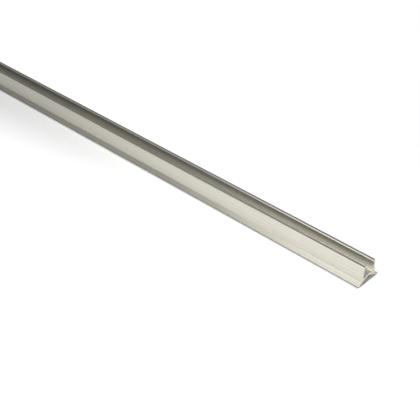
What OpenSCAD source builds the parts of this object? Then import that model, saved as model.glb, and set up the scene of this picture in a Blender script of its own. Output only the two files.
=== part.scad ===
// Lipped channel rail in aluminium, extruded in one piece and cut to length.
// It lies along X on its two splayed feet, open side up, with its middle over the origin.
// Sizes in millimetres, +Z up.

/* [Bar] */
// Length of the cut bar
bar_length = 1000; // [200:50:3000]

/* [Section] */
// Height from the floor to the tops of the lips
bar_height = 12; // [11:0.25:16]
// Width across the tops of the two walls
top_width = 10.4; // [9.6:0.1:12]
// Width across the tips of the two feet
base_width = 16.7; // [15.5:0.1:20]
// Thickness of each wall
wall = 1.2; // [0.9:0.05:1.5]
// How far each wall leans out between its top and the crease above its foot
wall_spread = 0.5; // [0.2:0.05:0.8]

/* [Slot] */
// Clear width between the two lips
slot_width = 6.4; // [5:0.1:6.8]
// Thickness of each lip
lip = 1; // [0.8:0.05:1.4]

/* [Floor] */
// Height of the channel floor along the walls
floor_side = 4; // [3.8:0.1:4.6]
// Height of the channel floor along its middle ridge
floor_ridge = 5.2; // [5:0.1:6]

/* [Feet] */
// Height of the arch under the middle of the bar
arch_rise = 3.9; // [3.4:0.1:4.3]
// Width of the flat that each foot rests on
foot_land = 0.9; // [0.8:0.05:1.4]
// Height of the crease where each wall turns into its foot
crease_height = 2.25; // [1.9:0.05:2.5]
// Height of the tip of each foot
toe_height = 0.85; // [0.6:0.05:1]
// How far the edge under each tip lies back from it
toe_undercut = 0.25; // [0:0.05:0.4]

/* [Roundings] */
// Radius of the outer corners at the top
top_radius = 0.45; // [0.2:0.05:0.6]
// Radius of the edges of the lips and of the foot tips
edge_radius = 0.18; // [0.1:0.02:0.22]
// Radius of the hollow between wall and foot
crease_radius = 0.3; // [0.2:0.05:0.6]
// Radius of the inner corners of the channel
channel_radius = 0.4; // [0.2:0.05:0.6]
// Radius of the ridge of the floor
ridge_radius = 1.5; // [0.5:0.1:2]
// Radius of the bends of the arch
arch_radius = 2; // [1:0.25:4]

/* [Hidden] */
// Steps of a full circle
$fn = 72;
// Half widths, from the middle plane of the section
half_top = top_width / 2;
half_base = base_width / 2;
half_slot = slot_width / 2;
half_crease = half_top + wall_spread;
half_land = half_base - toe_undercut;
half_arch = half_land - foot_land;
// Place of the bend in each side of the arch, as shares of the arch's half width and rise
bend_out = 0.69;
bend_up = 0.44;
// Outward lean of the wall for each millimetre down
lean = wall_spread / (bar_height - crease_height);
// Underside of the lips
lip_base = bar_height - lip;
// How far each corner's circle reaches past the two sides that it joins, so that it crosses them cleanly
bite = 0.002;
// How far the piece that shapes a corner runs past it
margin = 0.05;

// Inner half width of the channel at the height z
function half_inside(z) = half_top + lean * (bar_height - z) - wall;

// Corners of the +Y half, from the arch's peak out round the foot and back in over the floor.
// Each is [across, up, radius].
half_corners = [
    [half_arch * bend_out, arch_rise * bend_up, arch_radius],
    [half_arch, 0, edge_radius],
    [half_land, 0, edge_radius],
    [half_base, toe_height, edge_radius],
    [half_crease, crease_height, crease_radius],
    [half_top, bar_height, top_radius],
    [half_slot, bar_height, edge_radius],
    [half_slot, lip_base, edge_radius],
    [half_inside(lip_base), lip_base, edge_radius],
    [half_inside(floor_side), floor_side, channel_radius]
];
// The same corners on the -Y half, walked the other way
mirrored_corners = [
    for (i = [len(half_corners) - 1 : -1 : 0])
        [-half_corners[i].x, half_corners[i].y, half_corners[i].z]
];
// The whole section, counter-clockwise from the peak of the arch
corners = concat(
    [[0, arch_rise, arch_radius]],
    half_corners,
    [[0, floor_ridge, ridge_radius]],
    mirrored_corners
);

function flat(p) = [p.x, p.y];
function unit(v) = v / norm(v);
function before(i) = flat(corners[(i + len(corners) - 1) % len(corners)]);
function at(i) = flat(corners[i]);
function after(i) = flat(corners[(i + 1) % len(corners)]);
function radius(i) = corners[i].z;
function back_way(i) = unit(before(i) - at(i));
function fore_way(i) = unit(after(i) - at(i));
// Half of the angle between the two sides that meet in a corner
function half_angle(i) = acos(back_way(i) * fore_way(i)) / 2;
// Direction from a corner to the centre of its rounding
function inward(i) = unit(back_way(i) + fore_way(i));
// Centre of a corner's rounding
function centre(i) = at(i) + inward(i) * radius(i) / sin(half_angle(i));
// Turn that points from the centre of a rounding to its corner
function corner_turn(i) = atan2(-inward(i).y, -inward(i).x);
// Distances from the centre of a rounding to its straight cut and to its corner, and half the cut
function cut_depth(i) = radius(i) * sin(half_angle(i));
function corner_depth(i) = radius(i) / sin(half_angle(i));
function half_cut(i) = radius(i) * cos(half_angle(i));
// Does the outline turn to the left in this corner, so that it stands out?
function stands_out(i) = cross(at(i) - before(i), after(i) - at(i)) > 0;

// The section with sharp corners
module sharp_outline() {
    polygon([for (i = [0 : len(corners) - 1]) at(i)]);
}

// What lies between a sharp corner and its arc
module corner_piece(i) {
    translate(centre(i))
        rotate(corner_turn(i))
            difference() {
                translate([cut_depth(i), -half_cut(i) - margin])
                    square([corner_depth(i) - cut_depth(i) + margin, 2 * (half_cut(i) + margin)]);
                circle(r = radius(i) + bite);
            }
}

// These pieces for the corners that stand out, or for those that are hollow
module corner_pieces(out) {
    for (i = [0 : len(corners) - 1])
        if (stands_out(i) == out)
            corner_piece(i);
}

// The section, across in x and up in y
module section() {
    difference() {
        sharp_outline();
        corner_pieces(true);
    }
    corner_pieces(false);
}

// The extruded bar
module extrusion() {
    color([0.78, 0.77, 0.74])
        rotate([90, 0, 90])
            linear_extrude(height = bar_length, center = true)
                section();
}

extrusion();
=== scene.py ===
"""Looks of a lipped aluminium channel rail: a mill-finished bar with sawn ends on a pale floor."""

import logging
from dataclasses import dataclass, field
from enum import Enum

import bpy
import numpy as np
from mathutils import Matrix, Vector

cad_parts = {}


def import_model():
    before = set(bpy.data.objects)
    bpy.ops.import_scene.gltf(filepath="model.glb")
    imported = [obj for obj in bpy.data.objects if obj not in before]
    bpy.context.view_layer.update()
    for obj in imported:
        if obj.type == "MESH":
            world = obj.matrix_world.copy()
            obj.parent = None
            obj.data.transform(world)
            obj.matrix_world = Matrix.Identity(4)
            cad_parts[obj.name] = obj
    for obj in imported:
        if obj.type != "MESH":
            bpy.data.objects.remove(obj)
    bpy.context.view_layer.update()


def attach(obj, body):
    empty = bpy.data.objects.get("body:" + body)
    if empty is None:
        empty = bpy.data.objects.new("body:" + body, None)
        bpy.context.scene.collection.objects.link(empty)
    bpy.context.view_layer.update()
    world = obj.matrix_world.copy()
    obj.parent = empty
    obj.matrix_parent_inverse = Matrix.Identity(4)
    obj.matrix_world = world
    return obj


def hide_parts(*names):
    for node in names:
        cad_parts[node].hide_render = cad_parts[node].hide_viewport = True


log = logging.getLogger("rail")

# Metres in a millimetre
MM = 0.001
# Width and height of the picture in pixels, and width of the camera's sensor in millimetres
IMAGE_PX = 420.0
SENSOR_MM = 36.0
# Name of the bar, and of what its mesh carries: the map along and round it, its wear and shading (wear,
# painted light and painted shade) and its scrape
BAR = "rail_bar"
RUN_MAP = "run"
WEAR_AND_SHADING = "wear_and_shading"
SCRAPE = "scrape"
# Middle of a noise's range from 0 to 1
NOISE_MIDDLE = 0.5
# Largest distance of a side's first and last points from its ends, as a share of the side
MOST_INSET = 0.25

Socket = bpy.types.NodeSocket
Pair = tuple[float, float]
Triple = tuple[float, float, float]
Colour = Triple
Heights = float | np.ndarray
Given = float | Triple | Vector | Socket


class Surface(Enum):
    """The two kinds of surface on the bar, by the number of their material slot."""

    SKIN = 0
    CUT = 1


class Ending(Enum):
    """What a tree of shader nodes ends in, by Blender's name of the node."""

    MATERIAL = "ShaderNodeOutputMaterial"
    WORLD = "ShaderNodeOutputWorld"


@dataclass(frozen=True)
class Outline:
    """Points round a closed section in millimetres, with the outward normal and the wear and shading at
    each.

    Attributes:
        points: rows of across and up.
        normals: rows of across and up.
        wear_and_shading: from -1 in full painted shade to 1 where there is full wear or painted light.
    """

    points: np.ndarray
    normals: np.ndarray
    wear_and_shading: np.ndarray

    def run(self) -> np.ndarray:
        """Way round the outline from its first point to each point and back to the first."""
        steps = np.linalg.norm(np.roll(self.points, -1, axis=0) - self.points, axis=1)
        return np.concatenate([[0.0], np.cumsum(steps)])

    def nearest(self, spot: np.ndarray) -> float:
        """Way round the outline to its place nearest a spot.

        The spot is dropped square onto each straight piece, and the closest foot is taken.

        Args:
            spot: across and up.

        Returns:
            The distance round from the first point.
        """
        piece = np.roll(self.points, -1, axis=0) - self.points
        length = np.linalg.norm(piece, axis=1)
        share = np.clip(np.sum((spot - self.points) * piece, axis=1) / length**2, 0.0, 1.0)
        gap = np.linalg.norm(self.points + piece * share[:, None] - spot, axis=1)
        best = gap.argmin()
        return self.run()[best] + share[best] * length[best]

    def refined(self, extra: np.ndarray) -> "Outline":
        """The same outline with more points, set on the straight lines between the first ones.

        Args:
            extra: distances round the outline at which a point is added.

        Returns:
            The finer outline.
        """
        run = self.run()
        places = np.union1d(run[:-1], extra)
        columns = np.column_stack([self.points, self.normals, self.wear_and_shading])
        closed = np.concatenate([columns, columns[:1]])
        finer = np.stack([np.interp(places, run, column) for column in closed.T], axis=1)
        return Outline(points=finer[:, :2], normals=finer[:, 2:4], wear_and_shading=finer[:, 4])


@dataclass(frozen=True)
class Section:
    """The extruded section in millimetres, across in y and up in z.

    Attributes:
        height: floor to the tops of the lips.
        top_width: width across the tops of the two walls.
        base_width: width across the sharp tips of the two feet.
        wall: thickness of each wall.
        wall_spread: how far each wall leans out between its top and the crease above its foot.
        slot_width: clear width between the two lips.
        lip: thickness of each lip.
        floor_side: height of the channel floor along the walls.
        floor_ridge: height of the channel floor along its middle ridge.
        arch_rise: height of the arch under the middle.
        bend_out: place of the bend in each side of the arch, as a share of the arch's half width.
        bend_up: height of that bend, as a share of the arch's rise.
        foot_land: width of the flat that each foot rests on.
        crease_height: height of the crease where each wall turns into its foot.
        toe_height: height of the tip of each foot.
        toe_undercut: how far the edge under each tip lies back from it.
        top_radius: rounding of the outer corners at the top.
        edge_radius: rounding of the feet and of the corners under the lips.
        lip_radius: rounding of the slot's upper edges, which carry a painted highlight.
        crease_radius: rounding of the hollow between wall and foot.
        channel_radius: rounding of the lower corners of the channel.
        ridge_radius: rounding of the floor's ridge.
        arch_radius: rounding of the bends of the arch.
        grime_from: height on the channel's walls at which the painted shade under the lips starts.
        lip_grime: strength of that painted shade close under the lips.
        hollow_grime: painted shade in the middle of a hollow corner.
        edge_wear_and_sheen: wear and painted highlight in the middle of a corner that stands out.
        sheen_to: height at which the painted light low in the channel ends on its walls.
    """

    height: float = 12.0
    top_width: float = 10.4
    base_width: float = 16.7
    wall: float = 1.2
    wall_spread: float = 0.5
    slot_width: float = 6.4
    lip: float = 1.0
    floor_side: float = 4.0
    floor_ridge: float = 5.2
    arch_rise: float = 3.9
    bend_out: float = 0.69
    bend_up: float = 0.44
    foot_land: float = 0.9
    crease_height: float = 2.25
    toe_height: float = 0.85
    toe_undercut: float = 0.25
    top_radius: float = 0.45
    edge_radius: float = 0.18
    lip_radius: float = 0.5
    crease_radius: float = 0.3
    channel_radius: float = 0.4
    ridge_radius: float = 1.5
    arch_radius: float = 2.0
    # Painted shade under the lips, in hollow corners and on the toes, and painted light on edges and low
    # in the channel, carried by the mesh's wear and shading
    grime_from: float = 6.0
    lip_grime: float = 0.54
    hollow_grime: float = 0.11
    edge_wear_and_sheen: float = 0.2
    sheen_to: float = 8.0

    def half_wall(self, z: Heights) -> Heights:
        """Outer half width of the walls at the height z."""
        lean = self.wall_spread / (self.height - self.crease_height)
        return self.top_width / 2 + lean * (self.height - z)

    def corners(self) -> np.ndarray:
        """Sharp corners of the section, counter-clockwise from the peak of the arch.

        Returns:
            Rows of across, up and rounding radius.
        """
        half_base = self.base_width / 2
        half_land = half_base - self.toe_undercut
        half_arch = half_land - self.foot_land
        half_slot = self.slot_width / 2
        lip_base = self.height - self.lip
        edge = self.edge_radius
        half = np.array([
            [half_arch * self.bend_out, self.arch_rise * self.bend_up, self.arch_radius],
            [half_arch, 0.0, edge],
            [half_land, 0.0, edge],
            [half_base, self.toe_height, edge],
            [self.half_wall(self.crease_height), self.crease_height, self.crease_radius],
            [self.half_wall(self.height), self.height, self.top_radius],
            [half_slot, self.height, self.lip_radius],
            [half_slot, lip_base, edge],
            [self.half_wall(lip_base) - self.wall, lip_base, edge],
            [self.half_wall(self.floor_side) - self.wall, self.floor_side, self.channel_radius],
        ])
        mirrored = half[::-1] * [-1.0, 1.0, 1.0]
        peak = [[0.0, self.arch_rise, self.arch_radius]]
        ridge = [[0.0, self.floor_ridge, self.ridge_radius]]
        return np.concatenate([peak, half, ridge, mirrored])

    def arcs(self, steps: int) -> tuple[np.ndarray, np.ndarray, np.ndarray]:
        """Arcs that round the corners, each turning evenly from one side's normal to the next one's.

        An arc starts before its corner, by the radius times the tangent of half the turn. Its centre
        is a radius from there, inwards where the corner stands out and outwards in a hollow. Wear and
        shading are half a sine wave over the arc: wear with a painted highlight where the corner
        stands out, and painted shade in a hollow.

        Args:
            steps: steps in each arc.

        Returns:
            Points, outward normals and wear and shading, each with a row for every corner.
        """
        rows = self.corners()
        at, radius = rows[:, :2], rows[:, 2:]
        fore = np.roll(at, -1, axis=0) - at
        fore = fore / np.linalg.norm(fore, axis=1, keepdims=True)
        back = -np.roll(fore, 1, axis=0)
        crossed = back[:, 1] * fore[:, 0] - back[:, 0] * fore[:, 1]
        turn = np.arctan2(crossed, -np.sum(back * fore, axis=1))
        stands_out = np.sign(turn)[:, None]
        setback = radius * np.tan(np.abs(turn) / 2)[:, None]
        first_normal = np.stack([-back[:, 1], back[:, 0]], axis=1)
        centre = at + back * setback - first_normal * radius * stands_out
        share = np.linspace(0.0, 1.0, steps + 1)
        start = np.arctan2(first_normal[:, 1], first_normal[:, 0])
        angle = start[:, None] + turn[:, None] * share
        normals = np.stack([np.cos(angle), np.sin(angle)], axis=2)
        points = centre[:, None] + normals * (radius * stands_out)[:, None]
        # Wear with a painted highlight where a corner stands out, painted shade in a hollow
        most = np.where(stands_out > 0.0, self.edge_wear_and_sheen, -self.hollow_grime)
        return points, normals, most * np.sin(np.pi * share)

    def sides(self, arcs: np.ndarray, steps: int, support: float) -> np.ndarray:
        """Even points on the straight sides, the first and the last close to the arcs at the ends.

        The close points keep the shading flat between them.

        Args:
            arcs: points of the arcs, a row for each corner.
            steps: points along each side.
            support: distance of the first and the last point from the arcs.

        Returns:
            The points, a row for the side after each corner.
        """
        start = arcs[:, -1]
        span = np.roll(arcs[:, 0], -1, axis=0) - start
        inset = np.minimum(support / np.linalg.norm(span, axis=1, keepdims=True), MOST_INSET)
        share = inset + (1.0 - 2.0 * inset) * np.linspace(0.0, 1.0, steps)
        return start[:, None] + share[:, :, None] * span[:, None]

    def outline(self, arc_steps: int, side_steps: int, support: float) -> Outline:
        """Rounded outline: an arc at each corner, then the straight side to the next arc.

        Args:
            arc_steps: steps in each arc.
            side_steps: points along each side.
            support: distance of a side's first and last points from the arcs.

        Returns:
            The outline.
        """
        arcs, arc_normals, arc_wear_and_shading = self.arcs(arc_steps)
        sides = self.sides(arcs, side_steps, support)
        side_normals = np.repeat(arc_normals[:, -1:], side_steps, axis=1)
        side_wear_and_shading = np.zeros(sides.shape[:2])
        points = np.concatenate([arcs, sides], axis=1).reshape(-1, 2)
        wear_and_shading = np.concatenate([arc_wear_and_shading, side_wear_and_shading], axis=1).ravel()
        # Wear and shading: the arcs' own, with painted light added and painted shade taken off
        return Outline(
            points=points,
            normals=np.concatenate([arc_normals, side_normals], axis=1).reshape(-1, 2),
            wear_and_shading=np.clip(wear_and_shading + self.painted_sheen_share(points) - self.grime(points), -1.0, 1.0),
        )

    def painted_sheen_share(self, points: np.ndarray) -> np.ndarray:
        """Painted sheen: a painted highlight, full on the slot's upper edges, and painted light low in the
        channel.

        Args:
            points: rows of across and up.

        Returns:
            A share from 0 to 1 at each point.
        """
        across, up = np.abs(points[:, 0]), points[:, 1]
        beside_slot = across < self.slot_width / 2 + self.lip_radius
        # Painted highlight along the slot's upper edges
        edge = beside_slot & (up > self.height - self.lip_radius)
        return np.where(edge, 1.0, self.low_room(points))

    def low_room(self, points: np.ndarray) -> np.ndarray:
        """Share of being low in the channel: 1 on its floor, fading up its walls to 0.

        Args:
            points: rows of across and up.

        Returns:
            A share from 0 to 1 at each point.
        """
        across, up = np.abs(points[:, 0]), points[:, 1]
        inside = (across < self.half_wall(up) - self.wall / 2) & (up > self.floor_side)
        share = np.clip((self.sheen_to - up) / (self.sheen_to - self.floor_ridge), 0.0, 1.0)
        return np.where(inside, share, 0.0)

    def grime(self, points: np.ndarray) -> np.ndarray:
        """Painted shade: full on the toes, where it stands for a contact shadow, and under the lips a
        share that fades down the inner walls.

        Args:
            points: rows of across and up.

        Returns:
            A share from 0 to 1 at each point.
        """
        across, up = np.abs(points[:, 0]), points[:, 1]
        # Painted contact shadow on the toes, and painted shade under the lips that fades down the inner
        # walls
        toe = (across > self.base_width / 2 - self.toe_undercut) & (up < self.toe_height)
        past_slot = across > self.slot_width / 2 + self.edge_radius
        under_lip = past_slot & (across < self.half_wall(up) - self.wall / 2)
        inside = under_lip & (up > self.floor_side) & (up < self.height - self.lip / 2)
        rise = self.height - self.lip - self.grime_from
        share = np.clip((up - self.grime_from) / rise, 0.0, 1.0)
        return np.where(toe, 1.0, np.where(inside, self.lip_grime * share, 0.0))


@dataclass(frozen=True)
class Nick:
    """A small scrape in the front wall, in millimetres.

    Attributes:
        along: place of its middle along the bar.
        up: height of its middle.
        half_length: half of its length along the bar.
        half_height: half of its height.
        depth: depth in its middle.
        fall: how fast its depth falls off from the middle.
        reach: how far the finer points over it go, in half sizes.
        steps: steps between those points, each way.
    """

    along: float = 481.1
    up: float = 4.05
    half_length: float = 0.95
    half_height: float = 0.22
    depth: float = 0.08
    fall: float = 1.4
    reach: float = 2.0
    steps: int = 16

    def spread(self, middle: float, half: float) -> np.ndarray:
        """Places of a fine row of points over the scrape, to either side of its middle."""
        return middle + half * np.linspace(-self.reach, self.reach, self.steps + 1)

    def share(self, along: np.ndarray, round_from: np.ndarray) -> np.ndarray:
        """Depth of the scrape as a share: a bell of the distance from its middle, stretched along the bar.

        Args:
            along: places along the bar, a column.
            round_from: distances round the section from the scrape's middle, a row.

        Returns:
            A grid of shares from 0 to 1.
        """
        off_along = (along - self.along) / self.half_length
        off_round = round_from / self.half_height
        return np.exp(-self.fall * (off_along**2 + off_round**2))


class NodeTree:
    """Small helper that adds and links shader nodes."""

    def __init__(self, tree: bpy.types.NodeTree) -> None:
        """Start on an emptied tree.

        Args:
            tree: the node tree of a material or of the world.
        """
        self.tree = tree
        tree.nodes.clear()

    def add(self, kind: str, **values: str) -> bpy.types.Node:
        """Add a node and set its properties.

        Args:
            kind: Blender's name of the node type.
            values: properties of the node.

        Returns:
            The new node.
        """
        node = self.tree.nodes.new(kind)
        for name, value in values.items():
            setattr(node, name, value)
        return node

    def put(self, value: Given, target: Socket) -> None:
        """Give an input a value.

        Args:
            value: a number, a vector or an output to follow.
            target: the input.
        """
        if isinstance(value, Socket):
            self.tree.links.new(value, target)
        else:
            target.default_value = value

    def end(self, shader: Socket, ending: Ending = Ending.MATERIAL) -> None:
        """Show a shader as the surface of a material or of the world."""
        self.put(shader, self.add(ending.value).inputs["Surface"])

    def maths(self, operation: str, *values: Given) -> Socket:
        """Add a maths node on numbers and outputs.

        Args:
            operation: Blender's name of the operation.
            values: numbers or outputs, in order.

        Returns:
            The node's output.
        """
        node = self.add("ShaderNodeMath", operation=operation)
        for socket, value in zip(node.inputs, values):
            self.put(value, socket)
        return node.outputs[0]

    def total(self, *values: Given) -> Given:
        """Sum of several values.

        Args:
            values: numbers or outputs.

        Returns:
            The sum.
        """
        result = values[0]
        for value in values[1:]:
            result = self.maths("ADD", result, value)
        return result

    def times(self, source: Socket, factor: float) -> Socket:
        """An output times a number."""
        return self.maths("MULTIPLY", source, factor)

    def swing(self, source: Socket, depth: float) -> Socket:
        """A noise from 0 to 1, turned into a swing of half the depth to either side of nought."""
        return self.times(self.maths("SUBTRACT", source, NOISE_MIDDLE), depth)

    def blend(self, share: Socket, first: Given, second: Given) -> Socket:
        """First value where the share is 0, second where it is 1, and a straight mix between."""
        return self.total(first, self.maths("MULTIPLY", share, self.maths("SUBTRACT", second, first)))

    def ramp(
        self,
        value: Socket,
        start: float,
        stop: float,
        low: float = 0.0,
        high: float = 1.0,
    ) -> Socket:
        """Soft change from low to high while the value goes from start to stop.

        Args:
            value: what is followed.
            start: value at which the change starts.
            stop: value at which it ends.
            low: result before the start.
            high: result after the stop.

        Returns:
            The node's output.
        """
        node = self.add("ShaderNodeMapRange", interpolation_type="SMOOTHSTEP")
        self.put(value, node.inputs["Value"])
        self.put(start, node.inputs["From Min"])
        self.put(stop, node.inputs["From Max"])
        self.put(low, node.inputs["To Min"])
        self.put(high, node.inputs["To Max"])
        return node.outputs["Result"]

    def noise(
        self,
        place: Socket,
        cells: Triple,
        detail: float,
        turn: float = 0.0,
        flat: bool = True,
    ) -> Socket:
        """Noise with cells of a given size.

        Args:
            place: coordinates in metres.
            cells: size of a cell along each coordinate, in metres.
            detail: octaves of finer noise.
            turn: turn of the cells about the first axis, in radians.
            flat: read only the first two coordinates.

        Returns:
            The noise, from 0 to 1.
        """
        sizes = self.add("ShaderNodeMapping", vector_type="POINT")
        self.put(place, sizes.inputs["Vector"])
        sizes.inputs["Rotation"].default_value = (turn, 0.0, 0.0)
        sizes.inputs["Scale"].default_value = [1.0 / cell for cell in cells]
        node = self.add("ShaderNodeTexNoise", noise_dimensions="2D" if flat else "3D")
        self.put(sizes.outputs["Vector"], node.inputs["Vector"])
        node.inputs["Scale"].default_value = 1.0
        node.inputs["Detail"].default_value = detail
        return node.outputs["Fac"]

    def attribute(self, name: str) -> Socket:
        """Value of a named attribute of the mesh."""
        return self.add("ShaderNodeAttribute", attribute_name=name).outputs["Fac"]

    def place(self) -> Socket:
        """Place on the object, in metres."""
        return self.add("ShaderNodeTexCoord").outputs["Object"]

    def tinted(self, colour: Colour | Socket, tone: Socket) -> Socket:
        """A colour made lighter or darker.

        Args:
            colour: the colour.
            tone: what it is multiplied by, about 1.

        Returns:
            The new colour.
        """
        node = self.add("ShaderNodeVectorMath", operation="SCALE")
        self.put(colour, node.inputs[0])
        self.put(tone, node.inputs["Scale"])
        return node.outputs["Vector"]

    def mixed(self, first: Colour, second: Colour, share: Socket) -> Socket:
        """A straight mix of two colours.

        Args:
            first: colour where the share is 0.
            second: colour where the share is 1.
            share: share of the second colour.

        Returns:
            The mixed colour.
        """
        node = self.add("ShaderNodeVectorMath", operation="MULTIPLY_ADD")
        self.put(share, node.inputs[0])
        self.put(Vector(second) - Vector(first), node.inputs[1])
        self.put(first, node.inputs[2])
        return node.outputs["Vector"]

    def bump(self, height: Socket, depth: float) -> Socket:
        """Normal of a surface with fine relief.

        Args:
            height: the relief, from 0 to 1.
            depth: what the height is multiplied by, in metres.

        Returns:
            The normal.
        """
        node = self.add("ShaderNodeBump")
        node.inputs["Strength"].default_value = 1.0
        node.inputs["Distance"].default_value = depth
        self.put(height, node.inputs["Height"])
        return node.outputs["Normal"]


def new_material(name: str) -> tuple[bpy.types.Material, NodeTree]:
    """Start a material.

    Args:
        name: the material's name.

    Returns:
        The material and its emptied tree of nodes.
    """
    made = bpy.data.materials.new(name)
    made.use_nodes = True
    return made, NodeTree(made.node_tree)


def new_object(name: str, data: bpy.types.ID) -> bpy.types.Object:
    """Put an object into the scene, at the origin.

    Args:
        name: the object's name.
        data: its mesh, camera or lamp.

    Returns:
        The object.
    """
    made = bpy.data.objects.new(name, data)
    bpy.context.scene.collection.objects.link(made)
    return made


@dataclass(frozen=True)
class Marks:
    """Outputs that say how strong each mark is at a place on the mill-finished skin.

    Attributes:
        broad: broad die lines along the bar.
        streak: fine, short streaks along the bar.
        cloud: soft clouds.
        rubbed: wear and painted light, which passes 1 at the mouths of the channel.
        capped_wear_and_sheen: the same, 1 at most.
        painted_shade: painted shade in hollows, under the lips and on the toes.
        scrape: depth of the scrape as a share.
    """

    broad: Socket
    streak: Socket
    cloud: Socket
    rubbed: Socket
    capped_wear_and_sheen: Socket
    painted_shade: Socket
    scrape: Socket


@dataclass(frozen=True)
class Swings:
    """How far the marks move the tone or the roughness of the mill finish.

    Attributes:
        broad: full swing with the broad lines.
        streak: full swing with the streaks.
        cloud: full swing with the clouds.
        rubbed: change where there is wear or painted light.
        painted_shade: change under full painted shade.
        scrape: change in the middle of the scrape.
    """

    broad: float
    streak: float
    cloud: float
    rubbed: float
    painted_shade: float
    scrape: float


@dataclass(frozen=True)
class MillFinish:
    """Aluminium as it leaves the die: dull, with lines along the bar, worn edges with a painted highlight,
    painted light low in the channel and at its mouths, and painted shade in hollows, under the lips and on
    the toes.

    Attributes:
        name: the material's name.
        colour: colour of the skin.
        rubbed_colour: colour where there is wear or painted light.
        roughness: its roughness, between the marks.
        fan: how much more the gloss spreads across the lines than along them.
        fan_turn: turn of that spread from the map's first direction, as a share of a full turn.
        metal: share of the metal's own gloss, the rest being a dull skin.
        broad_line: length and width of the broad lines, in metres. The third value isn't read.
        streak: length and width of the streaks, in metres. The third value isn't read.
        cloud: size of the clouds, in metres.
        line_detail: octaves of the broad lines.
        streak_detail: octaves of the streaks.
        cloud_detail: octaves of the clouds.
        line_depth: depth of the lines and the streaks, in metres.
        tone: how the marks move the tone.
        rough: how they move the roughness.
    """

    name: str = "mill_aluminium"
    colour: Colour = (0.66, 0.642, 0.563)
    rubbed_colour: Colour = (0.655, 0.64, 0.585)
    roughness: float = 0.36
    fan: float = 0.5
    fan_turn: float = 0.25
    metal: float = 0.72
    broad_line: Triple = (0.70, 0.0011, 1.0)
    streak: Triple = (0.016, 0.0005, 1.0)
    cloud: Triple = (0.045, 0.012, 0.012)
    line_detail: float = 3.0
    streak_detail: float = 2.0
    cloud_detail: float = 3.0
    line_depth: float = 6e-6
    # The tone lightens with wear and painted light and darkens under painted shade
    tone: Swings = Swings(broad=0.22, streak=0.14, cloud=0.10, rubbed=0.22, painted_shade=-0.70, scrape=-0.50)
    rough: Swings = Swings(broad=0.06, streak=0.10, cloud=0.10, rubbed=-0.03, painted_shade=0.08, scrape=0.10)

    def marks(self, nodes: NodeTree) -> Marks:
        """Read the marks: noise on the bar's own map and on Object coordinates, and the mesh's wear and
        shading.

        Args:
            nodes: the material's nodes.

        Returns:
            The marks.
        """
        run = nodes.add("ShaderNodeUVMap", uv_map=RUN_MAP).outputs["UV"]
        wear_and_shading = nodes.attribute(WEAR_AND_SHADING)
        rubbed = nodes.maths("MAXIMUM", wear_and_shading, 0.0)
        return Marks(
            broad=nodes.noise(run, self.broad_line, self.line_detail),
            streak=nodes.noise(run, self.streak, self.streak_detail),
            cloud=nodes.noise(nodes.place(), self.cloud, self.cloud_detail, flat=False),
            rubbed=rubbed,
            capped_wear_and_sheen=nodes.maths("MINIMUM", rubbed, 1.0),
            painted_shade=nodes.maths("MAXIMUM", nodes.times(wear_and_shading, -1.0), 0.0),
            scrape=nodes.attribute(SCRAPE),
        )

    def moved(self, nodes: NodeTree, level: float, swings: Swings, marks: Marks, rub: Socket) -> Socket:
        """A level moved by the marks: each mark times its swing is added to it.

        Args:
            nodes: the material's nodes.
            level: value without any marks.
            swings: how far each mark moves it.
            marks: the marks.
            rub: the wear and painted light that is followed.

        Returns:
            The moved level.
        """
        return nodes.total(
            level,
            nodes.swing(marks.broad, swings.broad),
            nodes.swing(marks.streak, swings.streak),
            nodes.swing(marks.cloud, swings.cloud),
            nodes.times(rub, swings.rubbed),
            nodes.times(marks.painted_shade, swings.painted_shade),
            nodes.times(marks.scrape, swings.scrape),
        )

    def material(self) -> bpy.types.Material:
        """Build the material, with its gloss spread across the lines of the bar's own map.

        Returns:
            The material.
        """
        made, nodes = new_material(self.name)
        marks = self.marks(nodes)
        # Colour and tone carry the painted light and painted shade of the mesh's wear and shading
        hue = nodes.mixed(self.colour, self.rubbed_colour, marks.capped_wear_and_sheen)
        tone = self.moved(nodes, 1.0, self.tone, marks, marks.rubbed)
        rough = self.moved(nodes, self.roughness, self.rough, marks, marks.capped_wear_and_sheen)
        lines = nodes.total(marks.streak, marks.broad)
        way = nodes.add("ShaderNodeTangent", direction_type="UV_MAP", uv_map=RUN_MAP)
        shader = nodes.add("ShaderNodeBsdfPrincipled")
        nodes.put(nodes.tinted(hue, tone), shader.inputs["Base Color"])
        nodes.put(rough, shader.inputs["Roughness"])
        nodes.put(nodes.bump(lines, self.line_depth), shader.inputs["Normal"])
        nodes.put(way.outputs["Tangent"], shader.inputs["Tangent"])
        shader.inputs["Metallic"].default_value = self.metal
        shader.inputs["Anisotropic"].default_value = self.fan
        shader.inputs["Anisotropic Rotation"].default_value = self.fan_turn
        nodes.end(shader.outputs["BSDF"])
        return made


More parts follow.
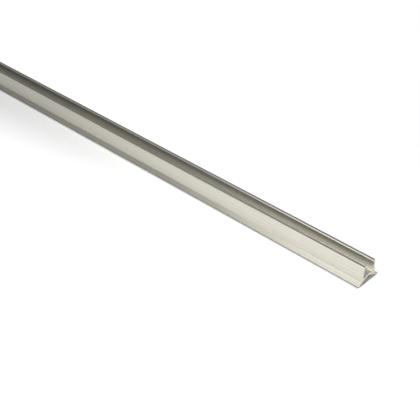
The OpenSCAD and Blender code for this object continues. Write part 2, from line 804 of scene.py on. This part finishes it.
@dataclass(frozen=True)
class SawCut:
    """Sawn end of the bar: bare bright metal, dulled by the lines that the blade leaves.

    Attributes:
        name: the material's name.
        colour: colour of the cut.
        metal: share of the metal's own gloss, the rest being torn and dull.
        roughness: its roughness, between the marks.
        blade_line: size of the blade's lines along X, Y and Z, in metres.
        blade_turn: turn of the lines about X, in radians.
        smear: size of the smears, in metres.
        detail: octaves of the lines and the smears.
        line_depth: depth of the lines, in metres.
        line_tone: full swing of the tone with the lines.
        smear_tone: full swing of the tone with the smears.
        line_rough: full swing of the roughness with the lines.
        smear_rough: full swing of the roughness with the smears.
    """

    name: str = "sawn_aluminium"
    colour: Colour = (0.84, 0.785, 0.67)
    metal: float = 0.5
    roughness: float = 0.62
    blade_line: Triple = (1.0, 0.00022, 0.004)
    blade_turn: float = 0.35
    smear: Triple = (0.0012, 0.0012, 0.0012)
    detail: float = 2.0
    line_depth: float = 18e-6
    line_tone: float = 0.45
    smear_tone: float = 0.20
    line_rough: float = 0.20
    smear_rough: float = 0.10

    def material(self) -> bpy.types.Material:
        """Build the material on Object coordinates.

        Returns:
            The material.
        """
        made, nodes = new_material(self.name)
        place = nodes.place()
        lines = nodes.noise(place, self.blade_line, self.detail, turn=self.blade_turn, flat=False)
        smear = nodes.noise(place, self.smear, self.detail, flat=False)
        tone = nodes.total(1.0, nodes.swing(lines, self.line_tone), nodes.swing(smear, self.smear_tone))
        rough = nodes.total(
            self.roughness,
            nodes.swing(lines, self.line_rough),
            nodes.swing(smear, self.smear_rough),
        )
        shader = nodes.add("ShaderNodeBsdfPrincipled")
        nodes.put(nodes.tinted(self.colour, tone), shader.inputs["Base Color"])
        nodes.put(rough, shader.inputs["Roughness"])
        nodes.put(nodes.bump(lines, self.line_depth), shader.inputs["Normal"])
        shader.inputs["Metallic"].default_value = self.metal
        nodes.end(shader.outputs["BSDF"])
        return made


@dataclass(frozen=True)
class Rail:
    """The extruded bar in millimetres: its section carried along X, with a square cut at each end.

    Attributes:
        section: the section.
        nick: the scrape in the front wall.
        skin: finish of the extruded surfaces.
        cut: finish of the sawn ends.
        length: length of the bar.
        arc_steps: steps in each rounded corner.
        side_steps: points along each straight side.
        support: distance from a rounding or a slope of the points that keep the shading flat beside it.
        stations: rings spread evenly along the bar.
        cut_edge: width of the slope round each cut.
        mouth: length of the stretch at each mouth of the channel that carries more painted light.
        mouth_steps: rings over that stretch.
        mouth_sheen: painted light low in the channel that is added at the cut.
    """

    section: Section = field(default_factory=Section)
    nick: Nick = field(default_factory=Nick)
    skin: MillFinish = field(default_factory=MillFinish)
    cut: SawCut = field(default_factory=SawCut)
    length: float = 1000.0
    arc_steps: int = 6
    side_steps: int = 6
    support: float = 0.1
    stations: int = 41
    cut_edge: float = 0.06
    mouth: float = 6.0
    mouth_steps: int = 5
    mouth_sheen: float = 0.8

    def stretch(self) -> np.ndarray:
        """Places of the rings along the bar: even, closer over the nick and the mouths.

        Each cut's slope has a ring at either edge, and one more close inside it.

        Returns:
            The places, from the far end to the near one.
        """
        half = self.length / 2
        slope = half - self.cut_edge
        even = np.linspace(self.support - slope, slope - self.support, self.stations)
        close = self.nick.spread(self.nick.along, self.nick.half_length)
        mouth = np.linspace(half - self.mouth, slope - self.support, self.mouth_steps)
        inner = np.unique(np.concatenate([even[1:-1], close, mouth, -mouth]))
        return np.concatenate([[-half, -slope], inner, [slope, half]])

    def ring(self) -> tuple[Outline, float]:
        """The section's outline, closer over the nick, and how far round it the nick lies.

        Returns:
            The outline and the distance.
        """
        plain = self.section.outline(self.arc_steps, self.side_steps, self.support)
        place = plain.nearest(np.array([-self.section.half_wall(self.nick.up), self.nick.up]))
        return plain.refined(self.nick.spread(place, self.nick.half_height)), place

    def rings(self, outline: Outline, scrape: np.ndarray) -> np.ndarray:
        """The outline at each ring, sunk along its normals by the scrape and, at the ends, by the slope.

        Args:
            outline: the outline.
            scrape: depth of the scrape as a share, a row for each ring.

        Returns:
            Across and up of each point, a row for each ring.
        """
        sunk = scrape * self.nick.depth
        sunk[[0, -1]] += self.cut_edge
        return outline.points[None] - outline.normals[None] * sunk[:, :, None]

    def points(self, places: np.ndarray, rings: np.ndarray) -> np.ndarray:
        """Points of the mesh in metres: point j of ring i at its place along X, then across and up.

        Args:
            places: places of the rings.
            rings: across and up, a row for each ring.

        Returns:
            A row for each point.
        """
        along = np.repeat(places[:, None], rings.shape[1], axis=1)
        return np.concatenate([along[:, :, None], rings], axis=2).reshape(-1, 3) * MM

    def faces(self, count: int, around: int) -> list[list[int]]:
        """Faces of the mesh: four corners between neighbours on two rings, then the two cuts.

        Args:
            count: number of rings.
            around: points in each ring.

        Returns:
            The numbers of each face's points, counter-clockwise as seen from outside.
        """
        number = np.arange(count * around).reshape(count, around)
        after = np.roll(number, -1, axis=1)
        quads = np.stack([number[:-1], after[:-1], after[1:], number[1:]], axis=2).reshape(-1, 4)
        return [*quads.tolist(), number[0, ::-1].tolist(), number[-1].tolist()]

    def run_map(self, places: np.ndarray, run: np.ndarray, rings: np.ndarray) -> np.ndarray:
        """Map in metres: along the bar and round it on the skin, across and up on the cuts.

        Args:
            places: places of the rings.
            run: way round the outline to each point and back to the first.
            rings: across and up, a row for each ring.

        Returns:
            A row for each corner of each face, in the order of the faces.
        """
        count, around = rings.shape[:2]
        along = np.stack([places[:-1], places[:-1], places[1:], places[1:]], axis=1)
        about = np.stack([run[:-1], run[1:], run[1:], run[:-1]], axis=1)
        skin = np.stack(
            [along[:, None].repeat(around, axis=1), about[None].repeat(count - 1, axis=0)],
            axis=3,
        )
        return np.concatenate([skin.reshape(-1, 2), rings[0, ::-1], rings[-1]]) * MM

    def wear_and_shading(self, outline: Outline, places: np.ndarray) -> np.ndarray:
        """Wear and shading of each point: the outline's own, and more painted light low in the channel
        towards its mouths.

        Args:
            outline: the outline.
            places: places of the rings.

        Returns:
            A row for each ring.
        """
        # Painted light low in the channel, growing towards its open ends
        entry = np.clip((np.abs(places) - self.length / 2 + self.mouth) / self.mouth, 0.0, 1.0)
        low = self.section.low_room(outline.points)
        return outline.wear_and_shading[None] + self.mouth_sheen * entry[:, None] * low[None]

    def dress(self, mesh: bpy.types.Mesh) -> None:
        """Give the mesh its two finishes: the cuts are its last two faces, and the skin is smooth.

        Args:
            mesh: the bar's mesh.
        """
        kinds = np.full(len(mesh.polygons), Surface.SKIN.value)
        kinds[-2:] = Surface.CUT.value
        mesh.polygons.foreach_set("material_index", kinds)
        mesh.polygons.foreach_set("use_smooth", kinds == Surface.SKIN.value)
        mesh.materials.append(self.skin.material())
        mesh.materials.append(self.cut.material())

    def build(self) -> bpy.types.Object:
        """Make the bar's mesh, with its map and its wear and shading, and dress it.

        Returns:
            The bar's object, at the origin.
        """
        outline, nick_at = self.ring()
        places = self.stretch()
        run = outline.run()
        scrape = self.nick.share(places[:, None], run[None, :-1] - nick_at)
        rings = self.rings(outline, scrape)
        run_map = self.run_map(places, run, rings)
        wear_and_shading = self.wear_and_shading(outline, places)
        mesh = bpy.data.meshes.new(BAR)
        mesh.from_pydata(self.points(places, rings).tolist(), [], self.faces(*scrape.shape))
        mesh.uv_layers.new(name=RUN_MAP).data.foreach_set("uv", run_map.ravel())
        # Wear and shading: wear with painted highlights and painted light, and painted shade
        mesh.attributes.new(WEAR_AND_SHADING, "FLOAT", "POINT").data.foreach_set("value", wear_and_shading.ravel())
        mesh.attributes.new(SCRAPE, "FLOAT", "POINT").data.foreach_set("value", scrape.ravel())
        self.dress(mesh)
        mesh.update()
        bar = new_object(BAR, mesh)
        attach(bar, "root")
        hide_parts("extrusion")
        return bar


@dataclass(frozen=True)
class Viewpoint:
    """Camera at the photograph's viewing angle, set by the lower edge of the near end's front toe.

    Attributes:
        focal_px: focal length in pixels.
        azimuth: turn of the view about Z, in degrees.
        elevation: height of the view over the floor, in degrees.
        roll: tilt of the picture, in degrees.
        toe_mm: place of the toe's edge on the bar, in millimetres.
        toe_px: place of that edge in the picture, in pixels.
        toe_depth_mm: its distance along the line of sight, in millimetres.
        clip_start: distance in metres at which sight starts.
    """

    focal_px: float = 886.0
    azimuth: float = 44.02
    elevation: float = 35.95
    roll: float = -0.35
    toe_mm: Triple = (500.0, -8.1, 0.0)
    toe_px: Pair = (358.4, 288.35)
    toe_depth_mm: float = 461.2
    clip_start: float = 0.01

    def axes(self) -> tuple[np.ndarray, np.ndarray, np.ndarray]:
        """Right, up and backward directions of the camera, raised from the level and then rolled.

        Returns:
            The three directions.
        """
        azimuth, elevation, roll = np.radians([self.azimuth, self.elevation, self.roll])
        level_right = np.array([np.cos(azimuth), np.sin(azimuth), 0.0])
        level_back = np.array([np.sin(azimuth), -np.cos(azimuth), 0.0])
        back = level_back * np.cos(elevation) + np.array([0.0, 0.0, np.sin(elevation)])
        rise = np.cross(back, level_right)
        right = level_right * np.cos(roll) + rise * np.sin(roll)
        up = rise * np.cos(roll) - level_right * np.sin(roll)
        return right, up, back

    def build(self) -> bpy.types.Object:
        """Make the camera, back from the toe along the ray through its pixel, and set it as the scene's.

        Returns:
            The camera.
        """
        right, up, back = self.axes()
        off_x, off_y = (np.array(self.toe_px) - IMAGE_PX / 2) / self.focal_px
        ray = off_x * right - off_y * up - back
        place = (np.array(self.toe_mm) - ray * self.toe_depth_mm) * MM
        lens = bpy.data.cameras.new("view")
        lens.sensor_width = SENSOR_MM
        lens.lens = self.focal_px / IMAGE_PX * SENSOR_MM
        lens.clip_start = self.clip_start
        camera = new_object("view", lens)
        turn = Matrix(np.stack([right, up, back], axis=1).tolist()).to_4x4()
        camera.matrix_world = Matrix.Translation(Vector(place)) @ turn
        bpy.context.scene.camera = camera
        return camera


@dataclass(frozen=True)
class SoftBox:
    """A wide soft brightness in the sky, round a direction.

    Attributes:
        way: direction of its middle.
        strength: brightness there.
        edge: cosine of the angle from the middle at which it ends.
    """

    way: Triple
    strength: float
    edge: float = 0.6

    def lobe(self, nodes: NodeTree, sight: Socket) -> Socket:
        """Brightness: a soft rise with the cosine of the angle to the direction.

        Args:
            nodes: the world's nodes.
            sight: direction of sight.

        Returns:
            The brightness.
        """
        cosine = nodes.add("ShaderNodeVectorMath", operation="DOT_PRODUCT")
        nodes.put(sight, cosine.inputs[0])
        nodes.put(Vector(self.way).normalized(), cosine.inputs[1])
        return nodes.ramp(cosine.outputs["Value"], self.edge, 1.0, 0.0, self.strength)


@dataclass(frozen=True)
class Lamp:
    """A round soft lamp that looks at a place along the bar, in metres.

    Attributes:
        name: the lamp's name.
        way: direction of the lamp from that place.
        reach: its distance from there.
        watts: its power.
        size_share: its width, as a share of the distance.
        along: the place that it looks at.
    """

    name: str
    way: Triple
    reach: float
    watts: float
    size_share: float = 0.8
    along: float = 0.5

    def build(self) -> bpy.types.Object:
        """Make the lamp.

        Returns:
            The lamp's object.
        """
        way = Vector(self.way).normalized()
        light = bpy.data.lights.new(self.name, "AREA")
        light.shape = "DISK"
        light.size = self.size_share * self.reach
        light.energy = self.watts
        holder = new_object(self.name, light)
        holder.location = Vector((self.along, 0.0, 0.0)) + way * self.reach
        holder.rotation_euler = way.to_track_quat("Z", "Y").to_euler()
        holder.visible_camera = False
        return holder


@dataclass(frozen=True)
class Floor:
    """Pale floor with a glow that lifts it to white for the eye and in gloss, but not under the bar.

    Places are in metres from the middle of the bar, and levels of the glow are strengths.

    Attributes:
        half_size: half of the floor's width.
        colour: its grey.
        front_near: level before the near end of the bar.
        front_far: level close before the rest of the near half; lower than further out, it leaves a
            painted grey shade along the bar, which the bar's gloss also shows.
        front_out: level further out before the rest of the near half.
        back_near: level behind the near end.
        back_far: level behind the rest of the near half.
        beyond: level round the far half.
        right: level past the near end.
        away: level well off to either side.
        near_from: place along the bar at which the levels of the near end start.
        near_to: place at which they are reached.
        out_from: distance before the bar at which the level further out starts.
        out_to: distance at which it is reached.
        beyond_from: place along the bar at which the level of the far half starts.
        beyond_to: place at which it is reached.
        away_from: distance from the bar at which the level well off starts.
        away_to: distance at which it is reached.
        bar_end: half of the bar's length.
        bar_half: half width of the strip under the bar that has no glow.
        bar_edge: width of the strip's soft edge.
        end_edge: width of the soft step past the bar's ends, close to the bar.
        end_fan: how much wider that step gets for each metre away from the bar.
    """

    half_size: float = 40.0
    colour: float = 0.9
    front_near: float = 0.55
    # Weaker glow close before the bar: a painted grey shade along it, also seen in its gloss
    front_far: float = 0.42
    front_out: float = 0.70
    back_near: float = 0.62
    back_far: float = 0.87
    beyond: float = 0.70
    right: float = 0.85
    away: float = 0.80
    near_from: float = 0.20
    near_to: float = 0.50
    out_from: float = 0.012
    out_to: float = 0.06
    beyond_from: float = -0.05
    beyond_to: float = -0.40
    away_from: float = 0.08
    away_to: float = 0.30
    bar_end: float = 0.5
    bar_half: float = 0.0085
    bar_edge: float = 0.0015
    end_edge: float = 0.0005
    end_fan: float = 0.6

    def beside(self, nodes: NodeTree, along: Socket, across: Socket) -> Socket:
        """Level of the glow before and behind the bar, each blended from far to near.

        Args:
            nodes: the floor's nodes.
            along: place along the bar.
            across: place across it.

        Returns:
            The level.
        """
        near = nodes.ramp(along, self.near_from, self.near_to)
        ahead = nodes.times(across, -1.0)
        # Painted shade: the glow is weaker close before the bar than further out
        far = nodes.ramp(ahead, self.out_from, self.out_to, self.front_far, self.front_out)
        front = nodes.blend(near, far, self.front_near)
        back = nodes.ramp(near, 0.0, 1.0, self.back_far, self.back_near)
        behind = nodes.ramp(across, -self.bar_half, self.bar_half)
        return nodes.blend(behind, front, back)

    def glow(self, nodes: NodeTree) -> Socket:
        """Strength of the glow: the levels beside the bar, past its ends and well off, and none under it.

        Args:
            nodes: the floor's nodes.

        Returns:
            The strength.
        """
        parts = nodes.add("ShaderNodeSeparateXYZ")
        nodes.put(nodes.place(), parts.inputs[0])
        along, across = parts.outputs["X"], parts.outputs["Y"]
        aside = nodes.maths("ABSOLUTE", across)
        width = nodes.total(self.end_edge, nodes.times(aside, self.end_fan))
        past_end = nodes.maths("DIVIDE", nodes.maths("SUBTRACT", along, self.bar_end), width)
        far_half = nodes.ramp(nodes.times(along, -1.0), -self.beyond_from, -self.beyond_to)
        well_off = nodes.ramp(aside, self.away_from, self.away_to)
        level = self.beside(nodes, along, across)
        level = nodes.blend(nodes.ramp(past_end, 0.0, 1.0), level, self.right)
        level = nodes.blend(far_half, level, self.beyond)
        level = nodes.blend(well_off, level, self.away)
        clear_aside = nodes.ramp(aside, self.bar_half, self.bar_half + self.bar_edge)
        length_off = nodes.maths("ABSOLUTE", along)
        clear_along = nodes.ramp(length_off, self.bar_end, self.bar_end + self.end_edge)
        return nodes.maths("MULTIPLY", level, nodes.maths("MAXIMUM", clear_aside, clear_along))

    def material(self) -> bpy.types.Material:
        """Build the material: a plain grey, and the glow where the eye or gloss sees it.

        Returns:
            The material.
        """
        made, nodes = new_material("pale_floor")
        plain = nodes.add("ShaderNodeBsdfDiffuse")
        plain.inputs["Color"].default_value = (self.colour, self.colour, self.colour, 1.0)
        path = nodes.add("ShaderNodeLightPath")
        seen = nodes.maths("MAXIMUM", path.outputs["Is Camera Ray"], path.outputs["Is Glossy Ray"])
        seen = nodes.maths("MAXIMUM", seen, path.outputs["Is Transmission Ray"])
        glow = nodes.add("ShaderNodeEmission")
        nodes.put(nodes.maths("MULTIPLY", seen, self.glow(nodes)), glow.inputs["Strength"])
        both = nodes.add("ShaderNodeAddShader")
        nodes.put(plain.outputs["BSDF"], both.inputs[0])
        nodes.put(glow.outputs["Emission"], both.inputs[1])
        nodes.end(both.outputs["Shader"])
        return made

    def build(self) -> bpy.types.Object:
        """Make the floor.

        Returns:
            The floor's object.
        """
        half = self.half_size
        mesh = bpy.data.meshes.new("floor")
        mesh.from_pydata(
            [(-half, -half, 0.0), (half, -half, 0.0), (half, half, 0.0), (-half, half, 0.0)],
            [],
            [(0, 1, 2, 3)],
        )
        mesh.materials.append(self.material())
        floor = new_object("floor", mesh)
        return floor


@dataclass(frozen=True)
class Studio:
    """Floor, sky and lamps.

    Attributes:
        floor: the floor.
        boxes: the bright places in the sky.
        lamps: the lamps, which stand round the near end.
    """

    floor: Floor = field(default_factory=Floor)
    boxes: tuple[SoftBox, ...] = (
        SoftBox(way=(-0.75, 0.62, 0.23), strength=0.25),
        SoftBox(way=(-0.45, -0.86, 0.23), strength=0.18),
        SoftBox(way=(-0.45, -0.63, 0.63), strength=0.21),
        SoftBox(way=(-0.1, -0.7, 0.7), strength=0.32),
        SoftBox(way=(-0.75, -0.47, 0.47), strength=0.11),
        SoftBox(way=(0.3, 0.93, 0.2), strength=0.3),
    )
    lamps: tuple[Lamp, ...] = (
        Lamp(name="high_lamp", way=(0.2, -0.5, 0.85), reach=0.25, watts=0.205),
        Lamp(name="end_lamp", way=(0.7, -0.6, 0.35), reach=0.25, watts=0.13),
        Lamp(name="front_lamp", way=(-0.4, -0.65, 0.65), reach=0.25, watts=0.165),
        Lamp(name="over_lamp", way=(-0.4, -0.2, 0.9), reach=0.35, watts=0.11),
    )

    def world(self) -> None:
        """Light the scene from the sky."""
        made = bpy.data.worlds.new("studio")
        made.use_nodes = True
        nodes = NodeTree(made.node_tree)
        sight = nodes.add("ShaderNodeTexCoord").outputs["Generated"]
        lobes = [box.lobe(nodes, sight) for box in self.boxes]
        light = nodes.add("ShaderNodeBackground")
        nodes.put(nodes.total(*lobes), light.inputs["Strength"])
        nodes.end(light.outputs["Background"], Ending.WORLD)
        bpy.context.scene.world = made

    def build(self) -> None:
        """Make the floor, the sky and the lamps."""
        self.floor.build()
        self.world()
        for lamp in self.lamps:
            lamp.build()


def main() -> None:
    """Build the camera, the bar and the studio."""
    logging.basicConfig(level=logging.INFO, format="%(name)s: %(message)s")
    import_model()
    bpy.context.scene.view_settings.view_transform = "Standard"
    Viewpoint().build()
    bar = Rail().build()
    log.info("%s: %d points, %d faces", bar.name, len(bar.data.vertices), len(bar.data.polygons))
    Studio().build()


if __name__ == "__main__":
    main()
